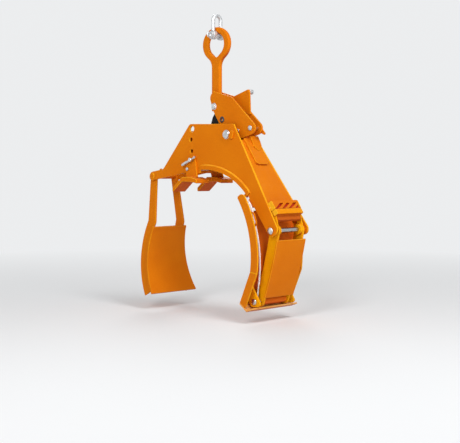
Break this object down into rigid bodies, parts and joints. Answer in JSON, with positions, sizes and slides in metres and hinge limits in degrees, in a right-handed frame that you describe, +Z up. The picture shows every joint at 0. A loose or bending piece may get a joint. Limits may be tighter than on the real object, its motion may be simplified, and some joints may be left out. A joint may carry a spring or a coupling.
{
  "type": "concrete pipe grab",
  "caption": "Lifting grab for concrete pipes: splayed plate frame over the pipe, swinging arm with a curved shoe, lifting lever with eye and shackle, and an adjustable support foot.",
  "frame": {"origin": "on the axis of the nominal pipe, half way along the grab's width", "axes": "+X across the pipe towards the moving arm, +Y along the pipe away from the rope side, +Z up towards the shackle"},
  "size_m": [0.98, 0.34, 1.5007],
  "materials": {
    "orange_paint": "semi-gloss orange paint on steel plate",
    "zinc_steel": "zinc plated",
    "galvanised": "hot dip galvanised",
    "wire_rope": "bright wire rope",
    "black_rubber": "moulded black rubber"
  },
  "bodies": {
    "suspension": {"lifting_bar": "orange_paint", "lever_cheek_front": "orange_paint", "lever_cheek_rear": "orange_paint", "lever_bolt_upper": "zinc_steel", "lever_bolt_lower": "zinc_steel", "drive_pin": "zinc_steel", "corner_pin": "zinc_steel", "release_ear": "orange_paint", "ear_bolt": "zinc_steel", "lever_buffer": "black_rubber"},
    "shackle": {"shackle_bow": "galvanised", "shackle_pin": "galvanised"},
    "catch": {"catch_tab": "orange_paint"},
    "frame": {"side_plate_front": "orange_paint", "side_plate_rear": "orange_paint", "arch_plate": "orange_paint", "outer_cover": "orange_paint", "guide_plate": "orange_paint", "lever_stop": "orange_paint", "back_plate": "orange_paint", "tail_tube": "orange_paint", "jaw_web_front": "orange_paint", "jaw_web_rear": "orange_paint", "jaw_pad": "orange_paint", "pivot_pin": "zinc_steel", "pivot_collar_front": "orange_paint", "pivot_collar_rear": "orange_paint", "pivot_keeper": "orange_paint", "lower_pin": "zinc_steel", "lower_collar_front": "orange_paint", "lower_collar_rear": "orange_paint", "rope_lug": "orange_paint", "foot_plate_front": "orange_paint", "foot_plate_rear": "orange_paint", "foot_saddle_front": "orange_paint", "foot_saddle_rear": "orange_paint", "foot_bolt": "zinc_steel"},
    "setting_pin": {"setting_pin": "zinc_steel", "pin_handle": "zinc_steel"},
    "push_rod": {"push_rod": "orange_paint", "rod_foot": "orange_paint"},
    "arm": {"arm_plate_front": "orange_paint", "arm_plate_rear": "orange_paint", "arm_cover": "orange_paint", "heel_bar": "orange_paint", "arm_cross_tube": "orange_paint", "shoe_pin": "zinc_steel", "tether_rope": "wire_rope"},
    "shoe": {"shoe_pad": "orange_paint", "toe_plate": "orange_paint", "toe_lip": "orange_paint", "shoe_web_front": "orange_paint", "shoe_web_rear": "orange_paint", "shoe_lug_front": "orange_paint", "shoe_lug_rear": "orange_paint", "rope_staple": "orange_paint", "rope_end": "zinc_steel"}
  },
  "joints": [
    {"name": "shackle_swing", "type": "hinge", "parent": "suspension", "child": "shackle", "pos_m": [0.005, 0, 1.1477], "axis": [0, 1, 0], "range_deg": [-70, 70]},
    {"name": "catch_swing", "type": "hinge", "parent": "suspension", "child": "catch", "pos_m": [0.27, 0, 0.661], "axis": [0, -1, 0], "range_deg": [0, 60]},
    {"name": "frame_tilt", "type": "hinge", "parent": "suspension", "child": "frame", "pos_m": [0.139, 0, 0.631], "axis": [0, 1, 0], "range_deg": [0, 25]},
    {"name": "rod_slide", "type": "slide", "parent": "frame", "child": "push_rod", "axis": [-0.5618, 0, 0.8273], "range_m": [0, 0.0195]},
    {"name": "arm_swing", "type": "hinge", "parent": "frame", "child": "arm", "pos_m": [0.491, 0, 0.158], "axis": [0, -1, 0], "range_deg": [0, 17.2], "deforming": ["tether_rope"]},
    {"name": "shoe_rock", "type": "hinge", "parent": "arm", "child": "shoe", "pos_m": [0.392, 0, -0.193], "axis": [0, -1, 0], "range_deg": [0, 3.5]},
    {"name": "pin_pull", "type": "slide", "parent": "frame", "child": "setting_pin", "axis": [0, -1, 0], "range_m": [0, 0.2]}
  ],
  "couplings": [
    {"joint": "rod_slide", "follows": "frame_tilt", "m_per_rad": 0.043652},
    {"joint": "arm_swing", "follows": "frame_tilt", "ratio": 0.68}
  ]
}
